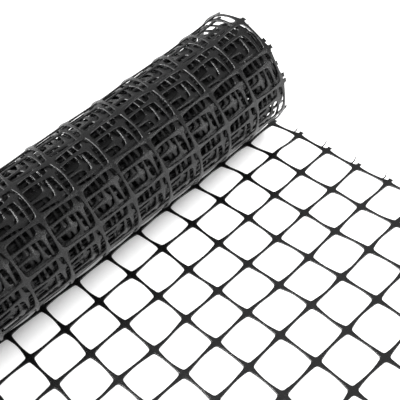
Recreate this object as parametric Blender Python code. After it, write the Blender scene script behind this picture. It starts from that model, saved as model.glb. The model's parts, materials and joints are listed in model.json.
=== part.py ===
"""Roll of black plastic poultry netting, lying on its side, with its loose end drawn out flat.

Metres, +Z up. The roll's axis runs along Y, and the loose end runs from under the roll towards +X.
The origin is the centre of the whole object's footprint, on the surface that it lies on.
The roll is one solid of the wound form, and the loose end is a sheet with its meshes cut through.
"""
import math

import bmesh
import bpy
import numpy as np

# The netting: a square mesh moulded in one piece, its strands wider where they cross.
PITCH_ACROSS = 0.0254
PITCH_ALONG = 0.0242
CELLS_ACROSS = 24
STRAND_WIDTH = 0.0019
NET_THICKNESS = 0.0014
CORNER_CUT = 0.0046
STUB_LENGTH = 0.0032
STUB_WIDTH = 0.0025

# The turns' radius after so many turns from the outside in. The net leaves the surface at the roll's
# lowest line, goes up behind, stands off a little there and over the top, and comes down in front,
# where it sags a little. The middle of the turns lies a little behind the roll's axis.
TURN_RADII = {
    0.0: 0.0403, 0.15: 0.0401, 0.3: 0.0403, 0.36: 0.0401, 0.42: 0.0395, 0.514: 0.0394, 0.613: 0.0391,
    0.713: 0.0388, 0.8: 0.0393, 0.87: 0.0399, 0.94: 0.0394, 1.0: 0.0386, 4.0: 0.0352, 18.0: 0.0235,
}
LEAN = 0.0004

# How far the net has moved along the axis towards -Y after so many turns.
TURN_CREEP = {
    0.0: 0.0, 0.514: 0.0028, 4.514: 0.0198, 4.78: 0.0201, 5.42: 0.0, 6.514: 0.0008, 7.514: 0.0032,
    8.514: 0.012, 9.514: 0.0, 10.514: 0.0036, 11.514: 0.0076, 12.514: 0.0035, 13.514: 0.0076,
    14.514: 0.0116, 15.514: 0.0096, 16.514: 0.0168, 18.0: 0.0132,
}

# How many meshes are wound after so many turns, from the first loose crosswise strand.
TURN_MESHES = {0.0: 0.79, 0.25: 3.31, 0.514: 6.0, 0.85: 9.36, 1.0: 10.82}

INNER_TURN = 17
INNER_SKIN = 0.0011
FLAT_SPOT = 0.006

# The turns at which the winding's ends change their slope, as the net crept to and fro.
END_RINGS = (4, 5, 8, 9, 14)

# The outer turn stands off the turns below it towards the far selvedge.
FLARE = 0.003
FLARE_REACH = 0.06
FLARE_RISE = (0.2, 0.42)
FLARE_FALL = (0.5, 0.72)

# The loose end: crosswise strands from the tangent line on, skewed a little against the roll's axis.
FIRST_ROW = 0.0192
LOOSE_ROWS = 9
SKEW = 0.0227
GAP_TO_ROLL = 0.0003

# How high each crosswise strand of the loose end lies over the surface, as the net is not quite flat.
ROW_HEIGHTS = {
    "row 0": 0.0,
    "row 1": 0.0016,
    "row 2": 0.0009,
    "row 3": 0.0,
    "row 4": 0.0008,
    "row 5": 0.0024,
    "row 6": 0.0020,
    "row 7": 0.0006,
    "row 8": 0.0,
    "row 9": 0.0008,
}

# The net's pattern stands in relief on the roll, between two of its crosswise strands.
RELIEF_DEPTH = 0.0014
RELIEF_WALL = 0.0015
RELIEF_FIRST_ROW = 2
RELIEF_LAST_ROW = 10
PLAIN_ARC = math.radians(16)

WIDTH = CELLS_ACROSS * PITCH_ACROSS
HALF_STRAND = STRAND_WIDTH / 2
FREE_END = FIRST_ROW + LOOSE_ROWS * PITCH_ALONG + HALF_STRAND
FULL_TURN = 2 * math.pi


def wound_radius(turns):
    """The outside of the net after so many turns."""
    radius = np.interp(turns, list(TURN_RADII), list(TURN_RADII.values()))
    return float(radius) + LEAN * math.sin(FULL_TURN * turns)


def wound_creep(turns):
    """How far the net has moved along the axis after so many turns."""
    return float(np.interp(turns, list(TURN_CREEP), list(TURN_CREEP.values())))


OUTER_RADIUS = TURN_RADII[0.0]


def smooth(value, low, high):
    """Eases 0 to 1 between two values."""
    part = min(max((value - low) / (high - low), 0.0), 1.0)
    return part * part * (3 - 2 * part)


def flare(turns, across):
    """How far the outer turn stands off near the far selvedge, on its back and its top."""
    side = min(max(1 - across / FLARE_REACH, 0.0), 1.0)
    lift = smooth(turns, *FLARE_RISE) * (1 - smooth(turns, *FLARE_FALL))
    return FLARE * side * side * lift


def skew(distance):
    """How far a crosswise line of the loose end is moved towards +Y."""
    return SKEW * (distance - FIRST_ROW)


def plastic(name, colour, roughness):
    """A plain dark plastic."""
    material = bpy.data.materials.new(name)
    material.use_nodes = True
    shader = material.node_tree.nodes["Principled BSDF"]
    shader.inputs["Base Color"].default_value = (*colour, 1.0)
    shader.inputs["Roughness"].default_value = roughness
    shader.inputs["Metallic"].default_value = 0.0
    return material


def add_object(name, mesh_builder, material):
    """Turns a finished bmesh into a named object of triangles with its faces pointing out."""
    bmesh.ops.triangulate(mesh_builder, faces=mesh_builder.faces[:])
    bmesh.ops.recalc_face_normals(mesh_builder, faces=mesh_builder.faces[:])
    mesh = bpy.data.meshes.new(name)
    mesh_builder.to_mesh(mesh)
    mesh_builder.free()
    mesh.materials.append(material)
    model = bpy.data.objects.new(name, mesh)
    bpy.context.scene.collection.objects.link(model)
    return model


def spiral_angle(length):
    """The angle that a length of net takes up on the outer turn, from the tangent line back."""
    meshes = (FIRST_ROW + length) / PITCH_ALONG
    return float(np.interp(meshes, list(TURN_MESHES.values()), list(TURN_MESHES))) * FULL_TURN


def around_lines():
    """The lines that run along the roll, as pairs of an angle and a kind, in order round it."""
    flat_edge = FLAT_SPOT / OUTER_RADIUS
    relief_start = RELIEF_FIRST_ROW * PITCH_ALONG - FIRST_ROW - HALF_STRAND
    start = spiral_angle(relief_start)
    steps = math.ceil((start - flat_edge) / PLAIN_ARC)
    lines = [(0.0, "plain")]
    lines += [(angle, "plain") for angle in np.linspace(flat_edge, start, steps + 1)[:-1]]
    for row in range(RELIEF_FIRST_ROW, RELIEF_LAST_ROW + 1):
        centre = row * PITCH_ALONG - FIRST_ROW
        lines += [(spiral_angle(centre - HALF_STRAND), "strand")]
        lines += [(spiral_angle(centre + HALF_STRAND), "strand")]
        if row < RELIEF_LAST_ROW:
            low = centre + HALF_STRAND + RELIEF_WALL
            high = centre + PITCH_ALONG - HALF_STRAND - RELIEF_WALL
            lines += [(spiral_angle(low + (high - low) * part), "floor") for part in (0, 0.5, 1)]
    end = lines[-1][0]
    steps = math.ceil((FULL_TURN - end) / PLAIN_ARC)
    lines += [(angle, "plain") for angle in np.linspace(end, FULL_TURN, steps + 1)[1:]]
    return lines


def across_lines():
    """The lines that run round the roll, as pairs of a distance across the net and a kind."""
    lines = []
    for column in range(CELLS_ACROSS + 1):
        centre = column * PITCH_ACROSS
        if column > 0:
            lines.append((centre - HALF_STRAND - RELIEF_WALL, "floor"))
        lines.append((centre - HALF_STRAND, "strand"))
        lines.append((centre + HALF_STRAND, "strand"))
        if column < CELLS_ACROSS:
            lines.append((centre + HALF_STRAND + RELIEF_WALL, "floor"))
    return lines


def outer_reach(angle, across):
    """The outer turn's radius at an angle round the roll, with its flare."""
    turns = angle / FULL_TURN
    return wound_radius(turns) + flare(turns, across)


# The footprint's middle, from the roll's back, the free end and the two ends across.
BACK = max(outer_reach(angle, 0.0) * math.sin(angle) for angle, kind in around_lines())
AXIS_X = (BACK - FREE_END - STUB_LENGTH) / 2
FAR_REACH = HALF_STRAND + STUB_LENGTH + skew(FREE_END)
MOST_CREEP = max(wound_creep(turn + angle / FULL_TURN)
                 for turn in (0, *END_RINGS, INNER_TURN) for angle, kind in around_lines())
NEAR_REACH = WIDTH + HALF_STRAND - skew(0.0) + MOST_CREEP
FAR_SELVEDGE = (NEAR_REACH - FAR_REACH) / 2


def turned(angle, inset_turns, depth, across):
    """A point of the winding, which rests on a narrow flat where it meets the surface."""
    turns = inset_turns + angle / FULL_TURN
    radius = outer_reach(angle, across) if inset_turns == 0 else wound_radius(turns)
    radius -= depth
    x = AXIS_X - radius * math.sin(angle)
    z = OUTER_RADIUS - radius * math.cos(angle)
    if inset_turns == 0 and angle * OUTER_RADIUS <= FLAT_SPOT:
        z = 0.0
    y = FAR_SELVEDGE - across + skew(0.0) - wound_creep(turns)
    return (x, y, z)


def relief_quad(builder, corners, floors):
    """Fills one patch of the relief. A corner of a mesh gets a flat chamfer and a sloping face."""
    if floors.count(True) == 1:
        deep = floors.index(True)
        before, after, opposite = corners[deep - 1], corners[(deep + 1) % 4], corners[deep - 2]
        builder.faces.new((before, after, opposite))
        builder.faces.new((corners[deep], after, before))
    else:
        builder.faces.new(corners)


def outer_surface(builder, around, across):
    """The net's pattern in relief, and plain strips along the underside."""
    columns = []
    for angle, kind in around:
        ends = kind == "plain"
        column = {}
        for index, (distance, side_kind) in enumerate(across):
            if ends and index not in (0, len(across) - 1):
                continue
            floor = kind == "floor" and side_kind == "floor"
            depth = RELIEF_DEPTH if floor else 0.0
            column[index] = (builder.verts.new(turned(angle, 0, depth, distance)), floor)
        columns.append(column)
    last = len(across) - 1
    for one, two in zip(columns[:-1], columns[1:]):
        if len(one) == 2 and len(two) == 2:
            builder.faces.new((one[0][0], one[last][0], two[last][0], two[0][0]))
        elif len(one) == 2 or len(two) == 2:
            plain, full = (one, two) if len(one) == 2 else (two, one)
            half = last // 2
            for index in range(last):
                apex = plain[0][0] if index < half else plain[last][0]
                builder.faces.new((apex, full[index][0], full[index + 1][0]))
            builder.faces.new((plain[0][0], full[half][0], plain[last][0]))
        else:
            for index in range(last):
                patch = (one[index], one[index + 1], two[index + 1], two[index])
                relief_quad(builder, [vert for vert, floor in patch], [floor for vert, floor in patch])
    return [column[0][0] for column in columns], [column[last][0] for column in columns]


def end_face(builder, outer, inner):
    """Fills one end of the winding between one of its spiral edges and the next one in."""
    last = len(outer) - 1
    builder.faces.new((outer[0], outer[1], inner[1], inner[0], outer[last]))
    for index in range(1, last - 1):
        builder.faces.new((outer[index], outer[index + 1], inner[index + 1], inner[index]))
    builder.faces.new((outer[last - 1], outer[last], inner[0], inner[last], inner[last - 1]))


def build_roll(material):
    """The wound form: a hollow spiral winding with no core, its ends creeping along the axis."""
    builder = bmesh.new()
    around = around_lines()
    across = across_lines()
    far_outer, near_outer = outer_surface(builder, around, across)
    far_rings, near_rings = [far_outer], [near_outer]
    for turn in (*END_RINGS, INNER_TURN):
        depth = INNER_SKIN if turn == INNER_TURN else 0.0
        for rings, side in ((far_rings, across[0][0]), (near_rings, across[-1][0])):
            rings.append([builder.verts.new(turned(angle, turn, depth, side)) for angle, kind in around])
    far_inner, near_inner = far_rings[-1], near_rings[-1]
    last = len(around) - 1
    for far_one, far_two, near_one, near_two in zip(far_inner, far_inner[1:], near_inner, near_inner[1:]):
        builder.faces.new((far_one, near_one, near_two, far_two))
    builder.faces.new((far_outer[last], near_outer[last], near_outer[0], far_outer[0]))
    builder.faces.new((far_inner[last], near_inner[last], near_inner[0], far_inner[0]))
    for rings in (far_rings, near_rings):
        for one, two in zip(rings[:-1], rings[1:]):
            end_face(builder, one, two)
    return add_object("roll", builder, material)


def loose_height(distance):
    """The underside's height over the surface, eased from one crosswise strand to the next."""
    heights = list(ROW_HEIGHTS.values())
    place = min(max((distance - FIRST_ROW) / PITCH_ALONG, 0.0), len(heights) - 1.0)
    row = min(int(place), len(heights) - 2)
    part = place - row
    ease = part * part * (3 - 2 * part)
    return heights[row] + (heights[row + 1] - heights[row]) * ease


def mesh_outline():
    """The opening of one mesh of the net, as eight corners from one crossing of its strands."""
    near, cut = HALF_STRAND, HALF_STRAND + CORNER_CUT
    along, over = PITCH_ALONG, PITCH_ACROSS
    return [
        (cut, near), (along - cut, near),
        (along - near, cut), (along - near, over - cut),
        (along - cut, over - near), (cut, over - near),
        (near, over - cut), (near, cut),
    ]


class FlatNet:
    """Collects the faces of the flat net, by distance from the roll and distance across."""

    def __init__(self):
        self.builder = bmesh.new()
        self.known = {}

    def vert(self, distance, across):
        key = (round(distance, 7), round(across, 7))
        if key not in self.known:
            y = FAR_SELVEDGE - across + skew(distance)
            x = AXIS_X + distance
            self.known[key] = self.builder.verts.new((x, y, loose_height(distance)))
        return self.known[key]

    def face(self, *places):
        self.builder.faces.new([self.vert(*place) for place in places])


def cut_mesh(net, start, side):
    """The strands round one mesh, out to the middles of the crossings at its corners."""
    opening = [(start + along, side + over) for along, over in mesh_outline()]
    crossings = [
        (start, side), (start + PITCH_ALONG, side),
        (start + PITCH_ALONG, side + PITCH_ACROSS), (start, side + PITCH_ACROSS),
    ]
    for index, crossing in enumerate(crossings):
        first, second = opening[2 * index], opening[2 * index + 1]
        net.face(crossing, crossings[(index + 1) % 4], second, first)
        net.face(crossing, first, opening[2 * index - 1])


def open_mesh(net, side):
    """The part of a mesh between the first crosswise strand and the roll, open towards the roll."""
    start = FIRST_ROW - PITCH_ALONG
    opening = [(start + along, side + over) for along, over in mesh_outline()]
    low, high = opening[1], opening[4]
    near_side, far_side = (FIRST_ROW, side), (FIRST_ROW, side + PITCH_ACROSS)
    net.face(near_side, far_side, opening[3], opening[2])
    net.face(near_side, opening[2], low)
    net.face(far_side, high, opening[3])
    net.face((GAP_TO_ROLL, side), near_side, low, (GAP_TO_ROLL, low[1]))
    net.face((GAP_TO_ROLL, side + PITCH_ACROSS), far_side, high, (GAP_TO_ROLL, high[1]))


def free_edge(net):
    """The outer half of the last crosswise strand, with a short cut stub at each crossing."""
    row = FREE_END - HALF_STRAND
    tip = FREE_END + STUB_LENGTH
    half = STUB_WIDTH / 2
    sides = [column * PITCH_ACROSS for column in range(CELLS_ACROSS + 1)]
    for one, two in zip(sides[:-1], sides[1:]):
        net.face((row, one), (row, two), (FREE_END, two - half), (FREE_END, one + half))
    for side in sides:
        low = max(side - half, -HALF_STRAND)
        high = min(side + half, WIDTH + HALF_STRAND)
        net.face((row, side), (FREE_END, low), (FREE_END, high))
        net.face((FREE_END, low), (tip, low), (tip, high), (FREE_END, high))


def selvedge(net, side, outward):
    """The outer half of a lengthwise edge strand, with a short cut stub at each crossing."""
    edge = side + outward * HALF_STRAND
    tip = edge + outward * STUB_LENGTH
    rows = [FIRST_ROW + row * PITCH_ALONG for row in range(LOOSE_ROWS + 1)]
    half = STUB_WIDTH / 2
    net.face((GAP_TO_ROLL, side), (rows[0], side), (rows[0] - half, edge), (GAP_TO_ROLL, edge))
    for one, two in zip(rows[:-1], rows[1:]):
        net.face((one, side), (two, side), (two - half, edge), (one + half, edge))
    for row in rows[:-1]:
        net.face((row, side), (row - half, edge), (row + half, edge))
        net.face((row - half, edge), (row - half, tip), (row + half, tip), (row + half, edge))
    corner = rows[-1]
    net.face((corner, side), (corner - half, edge), (FREE_END, edge))
    net.face((corner - half, edge), (corner - half, tip), (FREE_END, tip), (FREE_END, edge))


def build_loose_end(material):
    """The drawn-out net: a thin sheet with every mesh cut through, uneven on the surface."""
    net = FlatNet()
    for column in range(CELLS_ACROSS):
        side = column * PITCH_ACROSS
        open_mesh(net, side)
        for row in range(LOOSE_ROWS):
            cut_mesh(net, FIRST_ROW + row * PITCH_ALONG, side)
    free_edge(net)
    selvedge(net, 0.0, -1)
    selvedge(net, WIDTH, 1)
    builder = net.builder
    bmesh.ops.recalc_face_normals(builder, faces=builder.faces[:])
    raised = bmesh.ops.extrude_face_region(builder, geom=builder.faces[:])
    lifted = [item for item in raised["geom"] if isinstance(item, bmesh.types.BMVert)]
    bmesh.ops.translate(builder, verts=lifted, vec=(0.0, 0.0, NET_THICKNESS))
    return add_object("loose_net", builder, material)


def main():
    for old in list(bpy.data.objects):
        bpy.data.objects.remove(old, do_unlink=True)
    black_plastic = plastic("black_plastic", (0.022, 0.022, 0.024), 0.45)
    build_roll(black_plastic)
    build_loose_end(black_plastic)


main()
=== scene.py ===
"""Looks of the roll of black plastic poultry netting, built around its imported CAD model.

The netting is one length of square-mesh plastic net. It is made here as its true meshes: the loose
end that is drawn out on the surface, and the turns that are wound on the roll.
Metres, +Z up. The roll's axis runs along Y, and the loose end runs from under the roll towards +X.
"""
import json
import math

import bpy
import numpy as np
from bpy.props import FloatProperty, FloatVectorProperty, IntProperty, PointerProperty
from mathutils import Matrix, Vector

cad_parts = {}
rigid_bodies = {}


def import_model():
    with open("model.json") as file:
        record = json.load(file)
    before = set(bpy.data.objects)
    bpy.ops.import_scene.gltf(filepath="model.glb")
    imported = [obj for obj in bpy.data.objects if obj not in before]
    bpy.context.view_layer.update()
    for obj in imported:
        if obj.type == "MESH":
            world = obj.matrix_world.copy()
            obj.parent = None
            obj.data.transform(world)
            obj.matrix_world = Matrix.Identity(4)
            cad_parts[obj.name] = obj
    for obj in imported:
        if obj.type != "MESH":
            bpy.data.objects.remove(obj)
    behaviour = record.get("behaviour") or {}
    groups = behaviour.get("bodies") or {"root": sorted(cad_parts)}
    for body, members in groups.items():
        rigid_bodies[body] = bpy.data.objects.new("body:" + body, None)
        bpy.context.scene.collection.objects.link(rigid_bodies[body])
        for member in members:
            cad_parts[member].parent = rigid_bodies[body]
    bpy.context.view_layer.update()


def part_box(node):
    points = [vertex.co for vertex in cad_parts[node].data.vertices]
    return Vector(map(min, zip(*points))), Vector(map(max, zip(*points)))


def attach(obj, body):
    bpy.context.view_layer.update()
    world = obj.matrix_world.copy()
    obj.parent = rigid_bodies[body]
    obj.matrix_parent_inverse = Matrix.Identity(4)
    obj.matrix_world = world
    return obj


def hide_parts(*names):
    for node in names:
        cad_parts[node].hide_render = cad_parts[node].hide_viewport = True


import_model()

bl_info = {
    "name": "Roll of Plastic Poultry Netting",
    "version": (1, 0, 0),
    "blender": (4, 5, 0),
    "location": "3D View > Sidebar > Netting",
    "description": "Builds a roll of square-mesh plastic netting with its loose end drawn out",
    "category": "Add Mesh",
}

BODY = "root"
SEED = 1814
FULL_TURN = 2 * math.pi

# Half the width of the CAD model's strands, by which its loose end reaches past its last strand.
CAD_HALF_STRAND = 0.00095

# The net is a little uneven. Random moves are drawn for a grid of crossings, whose rows are the
# crosswise strands. PATTERN_START is the row of the first loose strand.
PATTERN_ROWS, PATTERN_START = 160, 145
MOST_SLIP, MOST_BOW = 1.8, 2.0

# The span at the far selvedge of one loose crosswise strand is bent more: its arch and its swing.
BENT_ROW, BENT_SPAN = 1, (-1.6, 5.0)

# How much of a bow goes into a strand's arch, and how much into its swing to both sides.
ARCH_SHARE, SWING_SHARE = 0.8, 0.5

# The crossings keep still at the far selvedge and at the free end, up to this distance from them.
CALM_REACH = 0.02

# From this turn on inwards, the crossings' play grows over so many turns, by so many times.
UNEVEN_FROM, UNEVEN_OVER, UNEVEN_MORE = 4, 4, 2

# How far an uneven crossing lifts off the surface, and the run of net over which that sets in.
LOOSE_LIFT, LIFT_RUN = 0.00025, 0.03

# How far an uneven crossing of a wound turn lies in or out, and how fast that sets in.
RADIAL_PLAY, RADIAL_ONSET = 0.0002, 3

# The parts of a turn where the outer turns begin and cease to stand off at the far selvedge, the
# part over which each is eased, and the number of turns over which it dies away inwards.
FLARE_START, FLARE_END, FLARE_EASE, FLARE_TURNS = 0.2, 0.72, 0.22, 8

# Where a strand begins to thicken to its crossing, from the middle of its span, and over how much
# of the pitch.
THICKEN_FROM, THICKEN_OVER = 0.2, 0.26

# How much wider the head of a cut stub is than its neck.
STUB_HEAD = 1.16

# Corners that round to the same micron are joined. Their microns are packed into one number.
MICRONS = 1e6
KEY_OFFSET = (3.0, 1.0, 0.01)
ACROSS_BITS, HEIGHT_BITS = 22, 16

# A whisker's width and thickness at its root, how much of them is lost at its tip, and its steps.
WHISKER_WIDTH, WHISKER_THICKNESS, WHISKER_TAPER, WHISKER_SPOTS = 0.001, 0.0008, 0.45, 8

# In parts of a mesh: how far before its crossing a whisker is rooted and how far beside the
# strand's middle, how far it runs along the net, curls and stands out. In metres: its rise.
WHISKER_ROOT, WHISKER_FOOT = 0.19, 0.03
WHISKER_RUN, WHISKER_CURL, WHISKER_STAND = 0.05, 0.035, 0.15
WHISKER_BASE, WHISKER_RISE = 0.0003, 0.0028

# How much smoother and how much rougher the plastic is in places than its roughness.
GLOSS_BELOW, GLOSS_ABOVE = 0.08, 0.14

# How worn the edges of the strands are, with a painted sheen on them, and how strongly the plastic
# reflects.
OUTER_WEAR_AND_SHEEN, INNER_WEAR_AND_SHEEN, OUTER_SHINE, WHISKER_SHINE = 0.4, 0.2, 0.5, 0.05

# Half the floor's width, its roughness and its own faint glow.
FLOOR_REACH, FLOOR_ROUGHNESS, FLOOR_GLOW = 4.0, 0.9, 0.18

# Each light's place, the point that it faces and its width and height.
LIGHTS = {
    "side_light": ((0.95, 0.68, 0.29), (-0.1, 0.15, 0.06), (0.3, 0.2)),
    "back_light": ((-0.59, -0.69, 0.63), (-0.1, 0.1, 0.05), (0.7, 0.35)),
    "floor_light": ((0.16, 0.88, 0.85), (-0.05, 0.1, 0.0), (0.9, 0.9)),
}
SENSOR_WIDTH = 36.0
NEAREST_SEEN, FARTHEST_SEEN = 0.01, 20.0

# How high each crosswise strand of the loose end lies over the surface.
ROW_HEIGHTS = {
    "row 0": 0.0,
    "row 1": 0.0016,
    "row 2": 0.0009,
    "row 3": 0.0,
    "row 4": 0.0008,
    "row 5": 0.0024,
    "row 6": 0.0020,
    "row 7": 0.0006,
    "row 8": 0.0,
    "row 9": 0.0008,
}

# The turns' radius after so many turns from the outside in. The net leaves the surface at the roll's
# lowest line, goes up behind, stands off a little there and over the top, and comes down in front,
# where it sags a little. The turns inside it lie close.
TURN_RADII = {
    0.0: 0.0403, 0.15: 0.0401, 0.3: 0.0403, 0.36: 0.0401, 0.42: 0.0395, 0.514: 0.0394, 0.613: 0.0391,
    0.713: 0.0388, 0.8: 0.0393, 0.87: 0.0399, 0.94: 0.0394, 1.0: 0.0386, 1.15: 0.0388, 1.3: 0.0393,
    1.36: 0.0391, 1.42: 0.0384, 1.514: 0.0380, 1.713: 0.0375, 1.8: 0.0379, 1.87: 0.0385, 2.0: 0.0373,
    2.3: 0.0381, 2.36: 0.0379, 2.45: 0.0372, 2.6: 0.0365, 2.8: 0.0366, 2.87: 0.0372, 3.0: 0.0362,
    3.3: 0.0369, 3.4: 0.0363, 3.55: 0.0355, 3.8: 0.0355, 3.87: 0.0359, 4.0: 0.0352, 4.3: 0.0358,
    4.45: 0.0350, 5.0: 0.0343, 18.0: 0.0235,
}

# How far the net has moved along the axis towards -Y after so many turns.
TURN_CREEP = {
    0.0: 0.0000, 0.514: 0.0028, 1.514: 0.0072, 2.514: 0.0116, 3.514: 0.0157, 4.514: 0.0198,
    4.78: 0.0201, 5.42: 0.0000, 5.514: 0.0000, 6.514: 0.0008, 7.514: 0.0032, 8.514: 0.0120,
    9.514: 0.0000, 10.514: 0.0036, 11.514: 0.0076, 12.514: 0.0035, 13.514: 0.0076, 14.514: 0.0116,
    15.514: 0.0096, 16.514: 0.0168, 18.0: 0.0132,
}

# How many meshes of net are wound, from the first loose crosswise strand, when each turn has come to
# its back, its top and its front.
TURN_MESHES = {
    0: {"back": 3.31, "top": 6.00, "front": 9.36},
    1: {"back": 13.09, "top": 15.76, "front": 18.91},
    2: {"back": 22.67, "top": 25.21, "front": 28.30},
    3: {"back": 32.16, "top": 34.47, "front": 37.58},
    4: {"back": 41.13, "top": 43.62, "front": 46.49},
    5: {"back": 50.08, "top": 52.43, "front": 55.12},
    6: {"back": 58.46, "top": 60.68, "front": 63.60},
    7: {"back": 66.69, "top": 69.09, "front": 71.67},
    8: {"back": 74.83, "top": 77.10, "front": 79.61},
    9: {"back": 82.81, "top": 84.85, "front": 87.48},
    10: {"back": 90.51, "top": 92.55, "front": 95.23},
    11: {"back": 98.22, "top": 100.02, "front": 102.53},
    12: {"back": 105.39, "top": 107.31, "front": 109.81},
    13: {"back": 112.50, "top": 114.55, "front": 116.67},
    14: {"back": 119.33, "top": 121.28, "front": 123.46},
    15: {"back": 125.99, "top": 127.84, "front": 129.97},
    16: {"back": 132.46, "top": 134.02, "front": 136.09},
}
MESH_PLACES = {"back": 0.25, "top": 0.514, "front": 0.85}
FIRST_MESHES = 0.79
LAST_TURN, LAST_MESHES = 18.0, 143.2

# How finely a strand is shaped. "steps" are where its width is set, in parts of the mesh pitch from
# the middle of its span, and "bends" are the parts of the corner of an opening between them. Its
# section is set at "widths", parts of its half width, to heights in parts of its half thickness.
DETAILS = {
    "fine": {
        "steps": (0.0, 0.13, 0.26, 0.37), "bends": (0.25, 0.5, 0.75), "widths": (0.0, 0.5, 0.86, 1.0),
        "span": (1.0, 0.98, 0.82, 0.0), "crossing": (0.84, 0.95, 0.86, 0.0),
    },
    "plain": {
        "steps": (0.0, 0.13, 0.26, 0.37), "bends": (0.5,), "widths": (0.0, 0.82, 1.0),
        "span": (1.0, 0.84, 0.0), "crossing": (0.88, 0.88, 0.0),
    },
    "light": {
        "steps": (0.0, 0.2, 0.37), "bends": (0.5,), "widths": (0.0, 0.82, 1.0),
        "span": (1.0, 0.84, 0.0), "crossing": (0.88, 0.88, 0.0),
    },
    "coarse": {
        "steps": (0.0, 0.3), "bends": (0.5,), "widths": (0.0, 0.86, 1.0),
        "span": (1.0, 0.9, 0.0), "crossing": (0.88, 0.88, 0.0),
    },
}

# The wound net's pieces: the first and the last of their crosswise strands, and their detail.
WOUND_PIECES = {
    "netting_turn_1": (-10, -1, "fine"),
    "netting_turn_2": (-20, -11, "fine"),
    "netting_turns_3_4": (-38, -21, "plain"),
    "netting_turns_5_8": (-71, -39, "light"),
    "netting_turns_9_13": (-110, -72, "coarse"),
    "netting_turns_14_18": (-143, -111, "coarse"),
}


class NettingSizes(bpy.types.PropertyGroup):
    """Sizes of the netting and of its winding."""

    pitch_across: FloatProperty(
        name="Pitch across", description="From one lengthwise strand to the next",
        default=0.0254, min=0.01, unit="LENGTH", precision=4)
    pitch_along: FloatProperty(
        name="Pitch along", description="From one crosswise strand to the next",
        default=0.0242, min=0.01, unit="LENGTH", precision=4)
    meshes_across: IntProperty(
        name="Meshes across", description="How many meshes the net is wide", default=24, min=2)
    loose_rows: IntProperty(
        name="Loose rows", description="How many rows of meshes are drawn out", default=9, min=1)
    strand_width: FloatProperty(
        name="Strand width", description="Width of a strand in the middle of its span",
        default=0.0016, min=0.0005, unit="LENGTH", precision=5)
    strand_flare: FloatProperty(
        name="Strand flare", description="How fast a strand widens towards its crossings",
        default=0.0052, min=0.0, unit="LENGTH", precision=5)
    strand_thickness: FloatProperty(
        name="Strand thickness", description="Thickness of a strand in the middle of its span",
        default=0.001, min=0.0003, unit="LENGTH", precision=5)
    crossing_thickness: FloatProperty(
        name="Crossing thickness", description="Thickness of the net where its strands cross",
        default=0.0011, min=0.0003, unit="LENGTH", precision=5)
    stub_reach: FloatProperty(
        name="Stub reach", description="From an edge crossing's middle to the end of its cut stub",
        default=0.00415, min=0.002, unit="LENGTH", precision=5)
    stub_width: FloatProperty(
        name="Stub width", description="Width of a cut stub at its neck",
        default=0.0026, min=0.0005, unit="LENGTH", precision=5)
    first_row: FloatProperty(
        name="First row", description="From the tangent line to the first loose crosswise strand",
        default=0.0192, unit="LENGTH", precision=4)
    skew: FloatProperty(
        name="Skew", description="How far the loose end slews sideways for each metre drawn out",
        default=0.0227, precision=4)
    play: FloatProperty(
        name="Play", description="How far a crossing may lie from its even place",
        default=0.00028, min=0.0, unit="LENGTH", precision=5)
    lean: FloatProperty(
        name="Lean", description="How far the middle of the turns lies behind the roll's axis",
        default=0.0004, min=0.0, unit="LENGTH", precision=5)
    flare: FloatProperty(
        name="Flare", description="How far the outer turn stands off at the far selvedge",
        default=0.003, min=0.0, unit="LENGTH", precision=4)
    flare_reach: FloatProperty(
        name="Flare reach", description="How far from the far selvedge the outer turn stands off",
        default=0.06, min=0.01, unit="LENGTH", precision=4)


class NettingFinish(bpy.types.PropertyGroup):
    """Colours and surface of the plastic."""

    plastic_colour: FloatVectorProperty(
        name="Plastic", description="Colour of the netting's plastic",
        subtype="COLOR", size=3, min=0.0, max=1.0, default=(0.006, 0.006, 0.0063))
    # The lighter colour of the strands' edges and of patches: scuffing, and on the edges a painted
    # sheen.
    worn_and_sheen_colour: FloatVectorProperty(
        name="Worn plastic", description="Colour where the plastic is scuffed and drawn thin",
        subtype="COLOR", size=3, min=0.0, max=1.0, default=(0.02, 0.02, 0.0205))
    dust_colour: FloatVectorProperty(
        name="Dust", description="Colour of the fine dust that lies on the net",
        subtype="COLOR", size=3, min=0.0, max=1.0, default=(0.3, 0.29, 0.27))
    whisker_colour: FloatVectorProperty(
        name="Whiskers", description="Colour of the thin whiskers left by the cutter",
        subtype="COLOR", size=3, min=0.0, max=1.0, default=(0.008, 0.008, 0.0082))
    roughness: FloatProperty(
        name="Roughness", description="Roughness of the plastic", subtype="FACTOR",
        default=0.28, min=0.0, max=1.0)
    # Lower than the outer plastic's shine: a painted shade that darkens the deep turns.
    shaded_inner_shine: FloatProperty(
        name="Inner shine", description="How strongly the inner turns reflect", subtype="FACTOR",
        default=0.25, min=0.0, max=1.0)
    dust_amount: FloatProperty(
        name="Dust amount", description="How much dust lies on faces that look up",
        subtype="FACTOR", default=0.02, min=0.0, max=1.0)


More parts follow.
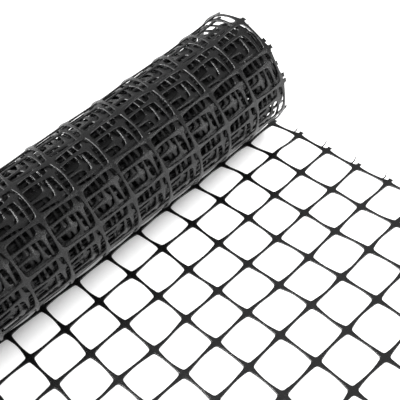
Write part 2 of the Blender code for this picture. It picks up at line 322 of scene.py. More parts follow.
class NettingStudio(bpy.types.PropertyGroup):
    """The floor, the lights and the camera."""

    floor_colour: FloatVectorProperty(
        name="Floor", description="Colour of the plain floor",
        subtype="COLOR", size=3, min=0.0, max=1.0, default=(0.9, 0.9, 0.9))
    sky_strength: FloatProperty(
        name="Surroundings", description="Strength of the pale surroundings", default=0.50, min=0.0)
    side_power: FloatProperty(
        name="Side light", description="Power of the soft light in front of the roll",
        default=5.0, min=0.0, unit="POWER")
    back_power: FloatProperty(
        name="Back light", description="Power of the soft light behind the near end",
        default=44.0, min=0.0, unit="POWER")
    floor_power: FloatProperty(
        name="Floor light", description="Power of the soft light on the floor",
        default=24.0, min=0.0, unit="POWER")
    camera_place: FloatVectorProperty(
        name="Camera place", description="Where the camera stands", subtype="XYZ", size=3,
        unit="LENGTH", default=(0.1919, 0.0539, 0.3388))
    camera_aim: FloatVectorProperty(
        name="Camera aim", description="The direction in which the camera looks",
        subtype="DIRECTION", size=3, default=(-0.5651, 0.3779, -0.7334))
    camera_up: FloatVectorProperty(
        name="Camera up", description="The direction that is up in the picture",
        subtype="DIRECTION", size=3, default=(-0.4669, 0.5864, 0.6619))
    camera_lens: FloatProperty(
        name="Lens", description="Focal length on a 36 mm sensor, in millimetres",
        default=63.44, min=10.0)


def smooth(value):
    """Eases 0 to 1."""
    value = np.clip(value, 0.0, 1.0)
    return value * value * (3 - 2 * value)


class Winding:
    """Where a point of the flat net lies once the net is wound and its end is drawn out.

    A point is a distance along the net from the tangent line, positive on the loose end, a
    distance across from the far selvedge, and a height over the net's middle plane.
    """

    def __init__(self, sizes):
        self.sizes = sizes
        low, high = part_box("loose_net")
        edge_row = sizes.first_row + sizes.loose_rows * sizes.pitch_along
        self.axis_x = high.x - edge_row - sizes.stub_reach
        self.far_selvedge = high.y - sizes.stub_reach - self.skew(edge_row + CAD_HALF_STRAND)
        self.heights = np.array(list(ROW_HEIGHTS.values()))
        rng = np.random.default_rng(SEED)
        grid = (PATTERN_ROWS, sizes.meshes_across + 1)
        self.slips = rng.normal(0.0, 1.0, (3, *grid)).clip(-MOST_SLIP, MOST_SLIP)
        self.bows = rng.normal(0.0, 1.0, (2, 2, *grid)).clip(-MOST_BOW, MOST_BOW)
        self.bows[:, 1, PATTERN_START + BENT_ROW, 0] = BENT_SPAN
        spots = [(turn + MESH_PLACES[place], meshes)
                 for turn, row in TURN_MESHES.items() for place, meshes in row.items()]
        spots = [(0.0, FIRST_MESHES), *spots, (LAST_TURN, LAST_MESHES)]
        self.mesh_turns, self.meshes = np.array(spots).T

    def skew(self, along):
        """How far the net has slewed sideways at a distance along it."""
        return self.sizes.skew * (along - self.sizes.first_row)

    def turns_at(self, along):
        """How many turns are wound at a distance along the net."""
        meshes = (self.sizes.first_row - np.minimum(along, 0.0)) / self.sizes.pitch_along
        return np.interp(meshes, self.meshes, self.mesh_turns)

    def radius_at(self, turns):
        """The outside of the net after so many turns, whose middle lies a little behind the axis."""
        radii = np.interp(turns, list(TURN_RADII), list(TURN_RADII.values()))
        return radii + self.sizes.lean * np.sin(FULL_TURN * turns)

    def flare(self, turns, across):
        """How far the outer turns stand off near the far selvedge, along the top."""
        side = np.clip(1 - across / self.sizes.flare_reach, 0.0, 1.0)
        part = turns - np.floor(turns)
        lift = smooth((part - FLARE_START) / FLARE_EASE) * smooth((FLARE_END - part) / FLARE_EASE)
        inwards = np.clip(1 - np.floor(turns) / FLARE_TURNS, 0.0, 1.0)
        return self.sizes.flare * side * side * lift * inwards

    def loose_height(self, along):
        """How high the loose end lies over the surface at a distance along it."""
        sizes = self.sizes
        place = np.clip((along - sizes.first_row) / sizes.pitch_along, 0.0, sizes.loose_rows)
        row = np.minimum(place.astype(int), sizes.loose_rows - 1)
        low, high = self.heights[row], self.heights[row + 1]
        return low + (high - low) * smooth(place - row)

    def slip(self, along, across):
        """Small uneven moves of the crossings and bends of the strands between them."""
        sizes = self.sizes
        row = (along - sizes.first_row) / sizes.pitch_along + PATTERN_START
        column = across / sizes.pitch_across
        row_low = np.clip(np.floor(row).astype(int), 0, self.slips.shape[1] - 2)
        column_low = np.clip(np.floor(column).astype(int), 0, self.slips.shape[2] - 2)
        row_part, column_part = row - row_low, column - column_low
        ease_row, ease_column = smooth(row_part), smooth(column_part)
        moves = []
        for grid in self.slips:
            first = grid[row_low, column_low] * (1 - ease_row)
            first += grid[row_low + 1, column_low] * ease_row
            second = grid[row_low, column_low + 1] * (1 - ease_row)
            second += grid[row_low + 1, column_low + 1] * ease_row
            moves.append(first * (1 - ease_column) + second * ease_column)
        nearest_row = np.clip(np.rint(row).astype(int), 0, self.slips.shape[1] - 1)
        nearest_column = np.clip(np.rint(column).astype(int), 0, self.slips.shape[2] - 1)
        lengthwise = self.bows[:, 0, row_low, nearest_column]
        crosswise = self.bows[:, 1, nearest_row, column_low]
        row_part, column_part = np.clip(row_part, 0, 1), np.clip(column_part, 0, 1)
        arch_row = 16 * (row_part * (1 - row_part)) ** 2
        arch_column = 16 * (column_part * (1 - column_part)) ** 2
        swing_row = np.sin(FULL_TURN * row_part) * np.sqrt(arch_row)
        swing_column = np.sin(FULL_TURN * column_part) * np.sqrt(arch_column)
        bend_across = lengthwise[0] * arch_row * ARCH_SHARE + lengthwise[1] * swing_row * SWING_SHARE
        bend_along = crosswise[0] * arch_column * ARCH_SHARE + crosswise[1] * swing_column * SWING_SHARE
        return moves[0] + bend_along, moves[1] + bend_across, moves[2]

    def place(self, along, across, height):
        """Where points of the flat net lie, in the CAD model's frame."""
        sizes = self.sizes
        slip_along, slip_across, slip_height = self.slip(along, across)
        half = sizes.crossing_thickness / 2
        edge_row = sizes.first_row + sizes.loose_rows * sizes.pitch_along
        calm = smooth(across / CALM_REACH)
        inwards = np.clip((self.turns_at(along) - UNEVEN_FROM) / UNEVEN_OVER, 0.0, 1.0)
        play = sizes.play * (1 + UNEVEN_MORE * inwards)
        along = along + slip_along * play * (smooth((edge_row - along) / CALM_REACH) * calm)
        across = across + slip_across * play * calm
        loose = along >= 0.0
        turns = self.turns_at(along)
        angle = turns * FULL_TURN
        lift = np.abs(slip_height) * LOOSE_LIFT * np.clip(along / LIFT_RUN, 0.0, 1.0)
        radial = slip_height * RADIAL_PLAY * np.clip(turns * RADIAL_ONSET, 0.0, 1.0)
        radius = self.radius_at(turns) - half - height + radial
        radius = radius + self.flare(turns, across)
        x = np.where(loose, self.axis_x + along, self.axis_x - radius * np.sin(angle))
        z_loose = self.loose_height(along) + half + height + lift
        z = np.where(loose, z_loose, TURN_RADII[0.0] - radius * np.cos(angle))
        creep = np.interp(turns, list(TURN_CREEP), list(TURN_CREEP.values()))
        sideways = np.where(loose, self.skew(along), self.skew(0.0) - creep)
        return np.column_stack([x, self.far_selvedge - across + sideways, z])


class Tile:
    """The crossing of two strands, out to the middles of their spans, as corners and faces.

    Its corners are distances along and across from the crossing's middle and a height. Each strip
    of its faces runs between the middles of its strands and the edge of one opening.
    """

    def __init__(self, sizes, detail):
        self.sizes = sizes
        self.detail = DETAILS[detail]
        self.corners, self.rims, self.faces = [], [], []

    def half_width(self, part):
        """Half a strand's width, a part of its pitch from the middle of its span."""
        return self.sizes.strand_width / 2 + self.sizes.strand_flare * part * part

    def add_strip(self, columns):
        """Adds the faces between rows of columns, each a middle, an edge and how near a crossing."""
        sizes = self.sizes
        detail = self.detail
        rings = len(detail["widths"])
        first = len(self.corners)
        turning = 0.0
        for (middle, edge, _), (next_middle, next_edge, _) in zip(columns, columns[1:]):
            one = np.subtract(next_edge, middle)
            two = np.subtract(edge, next_middle)
            turning += one[0] * two[1] - one[1] * two[0]
        thicker = sizes.crossing_thickness - sizes.strand_thickness
        for middle, edge, nearness in columns:
            thick = sizes.strand_thickness + thicker * nearness
            levels = []
            for part, span, crossing in zip(detail["widths"], detail["span"], detail["crossing"]):
                place = np.add(middle, np.subtract(edge, middle) * part)
                level = (span + (crossing - span) * nearness) * thick / 2
                levels.append((place[0], place[1], level, part))
            ring = levels + [(a, b, -level, part) for a, b, level, part in levels[-2::-1]]
            self.corners += [(a, b, level) for a, b, level, part in ring]
            self.rims += [part for a, b, level, part in ring]
        size = 2 * rings - 1
        for index in range(len(columns) - 1):
            one, two = first + index * size, first + (index + 1) * size
            for step in range(size - 1):
                face = (one + step, two + step, two + step + 1, one + step + 1)
                self.faces.append(face[::-1] if turning > 0 else face)

    def arm(self, away, side, pitch):
        """Columns from the middle of a strand's span to near its crossing."""
        columns = []
        for part in self.detail["steps"]:
            middle = np.multiply(away, (0.5 - part) * pitch)
            edge = middle + np.multiply(side, self.half_width(part))
            nearness = float(smooth((part - THICKEN_FROM) / THICKEN_OVER))
            columns.append((middle, edge, nearness))
        return columns

    def add_quadrant(self, along_sign, across_sign):
        """The strip round the corner of one opening."""
        sizes = self.sizes
        along, across = (along_sign, 0.0), (0.0, across_sign)
        first = self.arm(along, across, sizes.pitch_along)
        last = self.arm(across, along, sizes.pitch_across)
        start, end = first[-1][1], last[-1][1]
        slope = first[-1][1] - first[-2][1]
        rate = abs(slope[1] / slope[0])
        reach = (abs(start[0]) * rate + abs(start[1])) / (1 + rate)
        control = np.array((along_sign * reach, across_sign * reach))
        bends = []
        for part in self.detail["bends"]:
            edge = start * (1 - part) ** 2 + control * 2 * part * (1 - part) + end * part ** 2
            middle = np.zeros(2)
            if part != 0.5:
                nearer = first[-1][0] if part < 0.5 else last[-1][0]
                middle = nearer * 0.5
            bends.append((middle, edge, 1.0))
        self.add_strip(first + bends + last[::-1])

    def stub_side(self, out, side):
        """Columns from the neck of a cut stub to the middle of its end, each at a part of its reach."""
        neck, head = self.sizes.stub_width / 2, self.sizes.stub_width / 2 * STUB_HEAD
        reach = self.sizes.stub_reach
        spots = ((neck * 1.5, 0.46), (neck * 1.05, 0.6), (neck, 0.78), (head, 0.86), (head, 0.97),
                 (head * 0.8, 1.0), (0.0, 1.0))
        centre = np.zeros(2)
        return [(centre, np.multiply(side, wide) + np.multiply(out, part * reach), 1.0)
                for wide, part in spots]

    def neck(self, column, out, side):
        """The column between an arm's last one and a stub, where the corner's bends have one too."""
        if len(self.detail["bends"]) == 1:
            return []
        middle, edge, _ = column
        foot = self.stub_side(out, side)[0][1]
        return [(middle * 0.5, (edge + foot) / 2, 1.0)]

    def add_edge(self, out, arms):
        """The outer strip along an edge of the net. At a corner of the net it goes round both stubs."""
        first_out, last_out = out
        first_arm, last_arm = arms
        pitches = [self.sizes.pitch_along if arm[0] else self.sizes.pitch_across for arm in arms]
        first = self.arm(first_arm, first_out, pitches[0])
        last = self.arm(last_arm, last_out, pitches[1])
        columns = first + self.neck(first[-1], first_out, first_arm)
        columns += self.stub_side(first_out, first_arm)
        if first_out != last_out:
            columns += self.stub_side(first_out, last_out)[-2::-1]
            columns += self.stub_side(last_out, first_out)
        columns += self.stub_side(last_out, last_arm)[-2::-1]
        columns += self.neck(last[-1], last_out, last_arm) + last[::-1]
        self.add_strip(columns)

    def finished(self):
        """The crossing's corners, how near each lies to a strand's edge, and its faces."""
        return np.array(self.corners), np.array(self.rims), np.array(self.faces)


def make_tiles(sizes, detail):
    """Every kind of crossing: inside the net, on each edge of it and at its two free corners."""
    towards, away = (-1.0, 0.0), (1.0, 0.0)
    far, near = (0.0, -1.0), (0.0, 1.0)
    plans = {
        "inside": ([(-1, -1), (-1, 1), (1, -1), (1, 1)], None, None),
        "far": ([(-1, 1), (1, 1)], (far, far), (towards, away)),
        "near": ([(-1, -1), (1, -1)], (near, near), (towards, away)),
        "end": ([(-1, -1), (-1, 1)], (away, away), (far, near)),
        "far end": ([(-1, 1)], (far, away), (towards, near)),
        "near end": ([(-1, -1)], (near, away), (towards, far)),
    }
    tiles = {}
    for name, (quadrants, out, arms) in plans.items():
        tile = Tile(sizes, detail)
        for quadrant in quadrants:
            tile.add_quadrant(*quadrant)
        if out:
            tile.add_edge(out, arms)
        tiles[name] = tile.finished()
    return tiles


def net_mesh(winding, first_row, last_row, detail):
    """The closed mesh of a stretch of net, from one crosswise strand to another."""
    sizes = winding.sizes
    tiles = make_tiles(sizes, detail)
    last_column = sizes.meshes_across
    corners, rims, faces, count = [], [], [], 0
    for row in range(first_row, last_row + 1):
        for column in range(last_column + 1):
            side = "far" if column == 0 else "near" if column == last_column else ""
            kind = side or "inside"
            if row == sizes.loose_rows:
                kind = (side + " end").strip()
            tile_corners, tile_rims, tile_faces = tiles[kind]
            centre = (sizes.first_row + row * sizes.pitch_along, column * sizes.pitch_across, 0.0)
            corners.append(tile_corners + centre)
            rims.append(tile_rims)
            faces.append(tile_faces + count)
            count += len(tile_corners)
    corners, rims, faces = np.concatenate(corners), np.concatenate(rims), np.concatenate(faces)
    keys = np.rint((corners + KEY_OFFSET) * MICRONS).astype(np.int64)
    keys = (keys[:, 0] * (1 << ACROSS_BITS) + keys[:, 1]) * (1 << HEIGHT_BITS) + keys[:, 2]
    _, kept, joined = np.unique(keys, return_index=True, return_inverse=True)
    return corners[kept], rims[kept], joined.reshape(-1)[faces]


def end_caps(corners, faces):
    """The corners round each open strand end, which one face closes."""
    heads = faces.reshape(-1)
    tails = np.roll(faces, -1, axis=1).reshape(-1)
    keep = heads != tails
    heads, tails = heads[keep], tails[keep]
    big = len(corners)
    forward, backward = heads * big + tails, tails * big + heads
    open_edges = ~np.isin(backward, forward)
    follows = dict(zip(tails[open_edges].tolist(), heads[open_edges].tolist()))
    loops = []
    while follows:
        start, here = follows.popitem()
        loop = [start, here]
        while here in follows:
            here = follows.pop(here)
            if here != start:
                loop.append(here)
        loops.append(loop)
    return loops


def plastic_object(name, winding, first_row, last_row, detail, material):
    """A stretch of net as an object in its wound or drawn-out place."""
    corners, rims, faces = net_mesh(winding, first_row, last_row, detail)
    caps = end_caps(corners, faces)
    repeated = faces == np.roll(faces, -1, axis=1)
    folded = repeated.any(axis=1)
    quads = faces[~folded]
    triangles = faces[folded][~repeated[folded]].reshape(-1, 3)
    cap_points = np.array([spot for cap in caps for spot in cap], dtype=int)
    loop_points = np.concatenate([quads.reshape(-1), triangles.reshape(-1), cap_points])
    sizes = [4] * len(quads) + [3] * len(triangles) + [len(cap) for cap in caps]
    points = winding.place(corners[:, 0], corners[:, 1], corners[:, 2])
    mesh = bpy.data.meshes.new(name)
    mesh.vertices.add(len(points))
    mesh.vertices.foreach_set("co", points.astype(np.float32).ravel())
    mesh.loops.add(len(loop_points))
    mesh.loops.foreach_set("vertex_index", loop_points.astype(np.int32))
    mesh.polygons.add(len(sizes))
    starts = np.concatenate([[0], np.cumsum(sizes)[:-1]])
    mesh.polygons.foreach_set("loop_start", starts.astype(np.int32))
    mesh.polygons.foreach_set("loop_total", np.array(sizes, dtype=np.int32))
    mesh.update(calc_edges=True)
    mesh.validate()
    mesh.shade_smooth()
    rim = mesh.attributes.new("rim", "FLOAT", "POINT")
    rim.data.foreach_set("value", rims.astype(np.float32))
    mesh.materials.append(material)
    model = bpy.data.objects.new(name, mesh)
    bpy.context.scene.collection.objects.link(model)
    return model


def whisker_path(winding, row, column, rng):
    """A thin curl of plastic that stands out from the edge strand beside a cut stub."""
    sizes = winding.sizes
    out = -1.0 if column == 0 else 1.0
    reach, curl = rng.uniform(0.8, 1.3), rng.uniform(-0.4, 1.0)
    root = sizes.first_row + (row - WHISKER_ROOT) * sizes.pitch_along
    spots = []
    for part in np.linspace(0.0, 1.0, WHISKER_SPOTS):
        curled = WHISKER_CURL * math.sin(4.2 * part) * curl
        along = root + (WHISKER_RUN * part + curled) * sizes.pitch_along
        stands = WHISKER_STAND * reach * (part - 0.25 * part * part)
        away = (WHISKER_FOOT + stands) * sizes.pitch_across
        height = WHISKER_BASE + WHISKER_RISE * reach * part ** 1.5
        spots.append((along, column * sizes.pitch_across + out * away, height))
    return winding.place(*np.array(spots).T)


def add_whisker(path, corners, faces):
    """Adds a closed ribbon along a path, drawn out thinner to its tip."""
    first = len(corners)
    steps = len(path) - 1
    for index, point in enumerate(path):
        before, after = path[max(index - 1, 0)], path[min(index + 1, steps)]
        forward = (after - before) / np.linalg.norm(after - before)
        side = np.cross(forward, (0.3, 0.1, 1.0))
        side = side / np.linalg.norm(side)
        up = np.cross(side, forward)
        slim = 1 - WHISKER_TAPER * index / steps
        wide, thick = slim * WHISKER_WIDTH / 2, slim * WHISKER_THICKNESS / 2
        for across, over in ((1, 0), (0, 1), (-1, 0), (0, -1)):
            corners.append(point + side * (across * wide) + up * (over * thick))
    for index in range(steps):
        one, two = first + 4 * index, first + 4 * index + 4
        for step in range(4):
            faces.append((one + step, two + step, two + (step + 1) % 4, one + (step + 1) % 4))
    last = first + 4 * steps
    faces.append((first, first + 1, first + 2, first + 3))
    faces.append((last + 3, last + 2, last + 1, last))


def whiskers_object(name, winding, rows, material):
    """The whiskers along both selvedges of a stretch of net."""
    rng = np.random.default_rng(SEED + len(name))
    corners, faces = [], []
    for row in rows:
        for column in (0, winding.sizes.meshes_across):
            add_whisker(whisker_path(winding, row, column, rng), corners, faces)
    mesh = bpy.data.meshes.new(name)
    mesh.from_pydata([tuple(corner) for corner in corners], [], faces)
    mesh.shade_smooth()
    mesh.materials.append(material)
    model = bpy.data.objects.new(name, mesh)
    bpy.context.scene.collection.objects.link(model)
    return model


def add_socket(group, name, kind, direction, default=None):
    """Adds a named input or output to a node group."""
    socket = group.interface.new_socket(name=name, in_out=direction, socket_type=kind)
    if default is not None:
        socket.default_value = default


def drawn_plastic_group():
    """Uneven tone, gloss and fine flow marks of moulded and drawn plastic, and lighter strand edges
    that are partly rubbed and partly a painted sheen.
    """
    name = "Drawn Plastic"
    if name in bpy.data.node_groups:
        return bpy.data.node_groups[name]
    group = bpy.data.node_groups.new(name, "ShaderNodeTree")
    add_socket(group, "Place", "NodeSocketVector", "INPUT")
    add_socket(group, "Rim", "NodeSocketFloat", "INPUT", 0.0)
    add_socket(group, "Plastic", "NodeSocketColor", "INPUT", (0.02, 0.02, 0.02, 1.0))
    add_socket(group, "Worn And Sheen", "NodeSocketColor", "INPUT", (0.06, 0.06, 0.06, 1.0))
    add_socket(group, "Wear And Sheen", "NodeSocketFloat", "INPUT", 0.4)
    add_socket(group, "Gloss Low", "NodeSocketFloat", "INPUT", 0.3)
    add_socket(group, "Gloss High", "NodeSocketFloat", "INPUT", 0.5)
    add_socket(group, "Color", "NodeSocketColor", "OUTPUT")
    add_socket(group, "Roughness", "NodeSocketFloat", "OUTPUT")
    add_socket(group, "Height", "NodeSocketFloat", "OUTPUT")
    nodes, links = group.nodes, group.links
    start, end = nodes.new("NodeGroupInput"), nodes.new("NodeGroupOutput")
    cloud = nodes.new("ShaderNodeTexNoise")
    cloud.inputs["Scale"].default_value = 90.0
    cloud.inputs["Detail"].default_value = 4.0
    cloud.inputs["Roughness"].default_value = 0.6
    links.new(start.outputs["Place"], cloud.inputs["Vector"])
    fine = nodes.new("ShaderNodeTexNoise")
    fine.inputs["Scale"].default_value = 1400.0
    fine.inputs["Detail"].default_value = 3.0
    links.new(start.outputs["Place"], fine.inputs["Vector"])
    # The strands' edges are lighter: partly rubbed, and partly a painted sheen.
    edge = nodes.new("ShaderNodeMapRange")
    edge.interpolation_type = "SMOOTHSTEP"
    edge.inputs["From Min"].default_value = 0.55
    edge.inputs["From Max"].default_value = 0.95
    links.new(start.outputs["Rim"], edge.inputs["Value"])
    patchy = nodes.new("ShaderNodeMapRange")
    patchy.inputs["From Min"].default_value = 0.35
    patchy.inputs["From Max"].default_value = 0.68
    links.new(cloud.outputs["Fac"], patchy.inputs["Value"])
    rub_and_sheen = nodes.new("ShaderNodeMath")
    rub_and_sheen.operation = "MULTIPLY"
    links.new(edge.outputs["Result"], rub_and_sheen.inputs[0])
    links.new(patchy.outputs["Result"], rub_and_sheen.inputs[1])
    tone = nodes.new("ShaderNodeMath")
    tone.operation = "MULTIPLY_ADD"
    tone.inputs[1].default_value = 0.35
    links.new(patchy.outputs["Result"], tone.inputs[0])
    links.new(rub_and_sheen.outputs[0], tone.inputs[2])
    wear_and_sheen = nodes.new("ShaderNodeMath")
    wear_and_sheen.operation = "MULTIPLY"
    wear_and_sheen.use_clamp = True
    links.new(tone.outputs[0], wear_and_sheen.inputs[0])
    links.new(start.outputs["Wear And Sheen"], wear_and_sheen.inputs[1])
    colour = nodes.new("ShaderNodeMix")
    colour.data_type = "RGBA"
    links.new(wear_and_sheen.outputs[0], colour.inputs["Factor"])
    links.new(start.outputs["Plastic"], colour.inputs["A"])
    links.new(start.outputs["Worn And Sheen"], colour.inputs["B"])
    links.new(colour.outputs["Result"], end.inputs["Color"])
    gloss = nodes.new("ShaderNodeMapRange")
    gloss.inputs["From Min"].default_value = 0.3
    gloss.inputs["From Max"].default_value = 0.7
    links.new(fine.outputs["Fac"], gloss.inputs["Value"])
    links.new(start.outputs["Gloss Low"], gloss.inputs["To Min"])
    links.new(start.outputs["Gloss High"], gloss.inputs["To Max"])
    links.new(gloss.outputs["Result"], end.inputs["Roughness"])
    flow = nodes.new("ShaderNodeMath")
    flow.operation = "MULTIPLY"
    flow.inputs[1].default_value = 26.0
    links.new(start.outputs["Rim"], flow.inputs[0])
    ripple = nodes.new("ShaderNodeMath")
    ripple.operation = "SINE"
    links.new(flow.outputs[0], ripple.inputs[0])
    height = nodes.new("ShaderNodeMath")
    height.operation = "MULTIPLY_ADD"
    height.inputs[1].default_value = 0.12
    links.new(ripple.outputs[0], height.inputs[0])
    links.new(fine.outputs["Fac"], height.inputs[2])
    links.new(height.outputs[0], end.inputs["Height"])
    return group


def settled_dust_group():
    """A mask of fine dust on the faces that look up, in loose patches."""
    name = "Settled Dust"
    if name in bpy.data.node_groups:
        return bpy.data.node_groups[name]
    group = bpy.data.node_groups.new(name, "ShaderNodeTree")
    add_socket(group, "Place", "NodeSocketVector", "INPUT")
    add_socket(group, "Facing", "NodeSocketVector", "INPUT")
    add_socket(group, "Amount", "NodeSocketFloat", "INPUT", 0.1)
    add_socket(group, "Mask", "NodeSocketFloat", "OUTPUT")
    nodes, links = group.nodes, group.links
    start, end = nodes.new("NodeGroupInput"), nodes.new("NodeGroupOutput")
    split = nodes.new("ShaderNodeSeparateXYZ")
    links.new(start.outputs["Facing"], split.inputs[0])
    up = nodes.new("ShaderNodeMapRange")
    up.inputs["From Min"].default_value = 0.2
    links.new(split.outputs["Z"], up.inputs["Value"])
    specks = nodes.new("ShaderNodeTexNoise")
    specks.inputs["Scale"].default_value = 620.0
    specks.inputs["Detail"].default_value = 5.0
    specks.inputs["Roughness"].default_value = 0.75
    links.new(start.outputs["Place"], specks.inputs["Vector"])
    grains = nodes.new("ShaderNodeMapRange")
    grains.inputs["From Min"].default_value = 0.5
    grains.inputs["From Max"].default_value = 0.75
    links.new(specks.outputs["Fac"], grains.inputs["Value"])
    lying = nodes.new("ShaderNodeMath")
    lying.operation = "MULTIPLY"
    links.new(up.outputs["Result"], lying.inputs[0])
    links.new(grains.outputs["Result"], lying.inputs[1])
    mask = nodes.new("ShaderNodeMath")
    mask.operation = "MULTIPLY"
    mask.use_clamp = True
    links.new(lying.outputs[0], mask.inputs[0])
    links.new(start.outputs["Amount"], mask.inputs[1])
    links.new(mask.outputs[0], end.inputs["Mask"])
    return group


def plastic_material(name, finish, colour, wear_and_sheen, dust, shine):
    """Black plastic with uneven gloss, rubbed edges that also carry a painted sheen, and a little dust.
    """
    if name in bpy.data.materials:
        return bpy.data.materials[name]
    material = bpy.data.materials.new(name)
    material.use_nodes = True
    nodes, links = material.node_tree.nodes, material.node_tree.links
    shader = nodes["Principled BSDF"]
    shader.inputs["Specular IOR Level"].default_value = shine
    place = nodes.new("ShaderNodeTexCoord")
    facing = nodes.new("ShaderNodeNewGeometry")
    rim = nodes.new("ShaderNodeAttribute")
    rim.attribute_name = "rim"
    plastic = nodes.new("ShaderNodeGroup")
    plastic.node_tree = drawn_plastic_group()
    plastic.inputs["Plastic"].default_value = (*colour, 1.0)
    plastic.inputs["Worn And Sheen"].default_value = (*finish.worn_and_sheen_colour, 1.0)
    plastic.inputs["Wear And Sheen"].default_value = wear_and_sheen
    plastic.inputs["Gloss Low"].default_value = finish.roughness - GLOSS_BELOW
    plastic.inputs["Gloss High"].default_value = finish.roughness + GLOSS_ABOVE
    links.new(place.outputs["Object"], plastic.inputs["Place"])
    links.new(rim.outputs["Fac"], plastic.inputs["Rim"])
    settled = nodes.new("ShaderNodeGroup")
    settled.node_tree = settled_dust_group()
    settled.inputs["Amount"].default_value = dust
    links.new(place.outputs["Object"], settled.inputs["Place"])
    links.new(facing.outputs["Normal"], settled.inputs["Facing"])
    tinted = nodes.new("ShaderNodeMix")
    tinted.data_type = "RGBA"
    tinted.inputs["B"].default_value = (*finish.dust_colour, 1.0)
    links.new(settled.outputs["Mask"], tinted.inputs["Factor"])
    links.new(plastic.outputs["Color"], tinted.inputs["A"])
    links.new(tinted.outputs["Result"], shader.inputs["Base Color"])
    links.new(plastic.outputs["Roughness"], shader.inputs["Roughness"])
    bump = nodes.new("ShaderNodeBump")
    bump.inputs["Strength"].default_value = 0.5
    bump.inputs["Distance"].default_value = 0.0003
    links.new(plastic.outputs["Height"], bump.inputs["Height"])
    links.new(bump.outputs["Normal"], shader.inputs["Normal"])
    return material


def outer_plastic(finish):
    """The plastic of the loose end and of the outer turns."""
    return plastic_material("netting_plastic", finish, finish.plastic_colour, OUTER_WEAR_AND_SHEEN,
                            finish.dust_amount, OUTER_SHINE)


def shaded_inner_plastic(finish):
    """The plastic of the turns from the fifth inwards. It reflects less than the outer plastic, a
    painted shade that darkens the deep turns lying in the shade of the outer ones.
    """
    return plastic_material("shaded_inner_netting_plastic", finish, finish.plastic_colour, INNER_WEAR_AND_SHEEN, 0.0,
                            finish.shaded_inner_shine)


def add_whiskers(name, winding, rows, finish):
    """Builds the whiskers of a stretch of net, and gives their name."""
    thin = plastic_material("whisker_plastic", finish, finish.whisker_colour, INNER_WEAR_AND_SHEEN, 0.0,
                            WHISKER_SHINE)
    whiskers = whiskers_object(name, winding, rows, thin)
    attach(whiskers, BODY)
    return whiskers.name


class NETTING_OT_loose_end(bpy.types.Operator):
    """Builds the loose end, drawn out flat from under the roll"""

    bl_idname = "netting.loose_end"
    bl_label = "Loose End"

    def execute(self, context):
        sizes, finish = context.scene.netting_sizes, context.scene.netting_finish
        winding = Winding(sizes)
        loose = plastic_object("netting_loose_end", winding, 0, sizes.loose_rows, "fine",
                               outer_plastic(finish))
        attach(loose, BODY)
        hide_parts("loose_net")
        whiskers = add_whiskers("loose_end_whiskers", winding, range(1, sizes.loose_rows), finish)
        return {"FINISHED"}


class NETTING_OT_wound_turns(bpy.types.Operator):
    """Builds the turns of net that are wound on the roll"""

    bl_idname = "netting.wound_turns"
    bl_label = "Wound Turns"

    def execute(self, context):
        sizes, finish = context.scene.netting_sizes, context.scene.netting_finish
        winding = Winding(sizes)
        outer, inner = outer_plastic(finish), shaded_inner_plastic(finish)
        for name, (first_row, last_row, detail) in WOUND_PIECES.items():
            # The turns from the fifth inwards get the less reflective plastic, a painted shade on the
            # deep turns.
            plastic = outer if detail in ("fine", "plain") else inner
            turn = plastic_object(name, winding, first_row, last_row, detail, plastic)
            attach(turn, BODY)
            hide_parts("roll")
            rows = range(first_row, last_row + 1)
            whiskers = []
            if detail == "fine":
                whiskers = [add_whiskers(name + "_whiskers", winding, rows, finish)]
        return {"FINISHED"}


def soft_light(name, power, lit):
    """A soft rectangular light that lights only the objects of one collection."""
    place, aim, size = LIGHTS[name]
    data = bpy.data.lights.new(name, "AREA")
    data.shape = "RECTANGLE"
    data.size, data.size_y = size
    data.energy = power
    light = bpy.data.objects.new(name, data)
    light.location = place
    light.rotation_mode = "QUATERNION"
    light.rotation_quaternion = (Vector(aim) - Vector(place)).to_track_quat("-Z", "Y")
    light.light_linking.receiver_collection = lit
    bpy.context.scene.collection.objects.link(light)
    return light


def add_floor(studio):
    """The plain pale floor."""
    mesh = bpy.data.meshes.new("floor")
    corners = [(x * FLOOR_REACH, y * FLOOR_REACH, 0) for x, y in ((-1, -1), (1, -1), (1, 1), (-1, 1))]
    mesh.from_pydata(corners, [], [(0, 1, 2, 3)])
    paint = bpy.data.materials.new("floor_paint")
    paint.use_nodes = True
    shader = paint.node_tree.nodes["Principled BSDF"]
    shader.inputs["Base Color"].default_value = (*studio.floor_colour, 1.0)
    shader.inputs["Roughness"].default_value = FLOOR_ROUGHNESS
    shader.inputs["Emission Color"].default_value = (1.0, 1.0, 1.0, 1.0)
    shader.inputs["Emission Strength"].default_value = FLOOR_GLOW
    mesh.materials.append(paint)
    floor = bpy.data.objects.new("floor", mesh)
    bpy.context.scene.collection.objects.link(floor)
    return floor


def add_surroundings(studio):
    """The even pale light from all round."""
    world = bpy.data.worlds.new("surroundings")
    world.use_nodes = True
    sky = world.node_tree.nodes["Background"]
    sky.inputs["Color"].default_value = (1.0, 1.0, 1.0, 1.0)
    sky.inputs["Strength"].default_value = studio.sky_strength
    bpy.context.scene.world = world


def add_lights(studio, floor):
    """Two lights on the netting, and one on the floor, where only the wound turns cast a shade."""
    netting = bpy.data.collections.new("lit_netting")
    wound = bpy.data.collections.new("shading_netting")
    for piece in bpy.context.scene.objects:
        if piece.name.startswith(("netting_", "loose_")):
            netting.objects.link(piece)
        if piece.name.startswith("netting_turn"):
            wound.objects.link(piece)
    bare = bpy.data.collections.new("lit_floor")
    bare.objects.link(floor)
    soft_light("side_light", studio.side_power, netting)
    soft_light("back_light", studio.back_power, netting)
    floor_light = soft_light("floor_light", studio.floor_power, bare)
    floor_light.light_linking.blocker_collection = wound


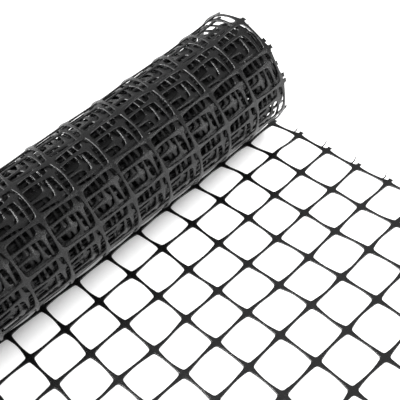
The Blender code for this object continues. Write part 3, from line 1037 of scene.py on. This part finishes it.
def add_camera(studio):
    """The camera, at the photograph's viewing angle."""
    data = bpy.data.cameras.new("camera")
    data.sensor_width = SENSOR_WIDTH
    data.lens = studio.camera_lens
    data.clip_start, data.clip_end = NEAREST_SEEN, FARTHEST_SEEN
    camera = bpy.data.objects.new("camera", data)
    aim, up = Vector(studio.camera_aim).normalized(), Vector(studio.camera_up).normalized()
    right = aim.cross(up).normalized()
    turn = Matrix((right, right.cross(aim), -aim)).transposed()
    camera.matrix_world = Matrix.Translation(studio.camera_place) @ turn.to_4x4()
    bpy.context.scene.collection.objects.link(camera)
    bpy.context.scene.camera = camera


class NETTING_OT_stage(bpy.types.Operator):
    """Builds the plain floor, the soft lights and the camera"""

    bl_idname = "netting.stage"
    bl_label = "Stage"

    def execute(self, context):
        studio = context.scene.netting_studio
        floor = add_floor(studio)
        add_surroundings(studio)
        add_lights(studio, floor)
        add_camera(studio)
        context.scene.view_settings.view_transform = "Standard"
        return {"FINISHED"}


class NETTING_PT_panel(bpy.types.Panel):
    """Lists what builds the roll"""

    bl_label = "Roll of Netting"
    bl_idname = "NETTING_PT_panel"
    bl_space_type = "VIEW_3D"
    bl_region_type = "UI"
    bl_category = "Netting"

    def draw(self, context):
        scene, layout = context.scene, self.layout
        for operator in OPERATORS:
            layout.operator(operator.bl_idname)
        for group in (scene.netting_sizes, scene.netting_finish, scene.netting_studio):
            column = layout.column()
            for name in group.__annotations__:
                column.prop(group, name)


OPERATORS = (NETTING_OT_loose_end, NETTING_OT_wound_turns, NETTING_OT_stage)
CLASSES = (NettingSizes, NettingFinish, NettingStudio, *OPERATORS, NETTING_PT_panel)


def register():
    for item in CLASSES:
        bpy.utils.register_class(item)
    bpy.types.Scene.netting_sizes = PointerProperty(type=NettingSizes)
    bpy.types.Scene.netting_finish = PointerProperty(type=NettingFinish)
    bpy.types.Scene.netting_studio = PointerProperty(type=NettingStudio)


def unregister():
    del bpy.types.Scene.netting_studio
    del bpy.types.Scene.netting_finish
    del bpy.types.Scene.netting_sizes
    for item in reversed(CLASSES):
        bpy.utils.unregister_class(item)


def main():
    register()
    bpy.ops.netting.loose_end()
    bpy.ops.netting.wound_turns()
    bpy.ops.netting.stage()


if __name__ == "__main__":
    main()
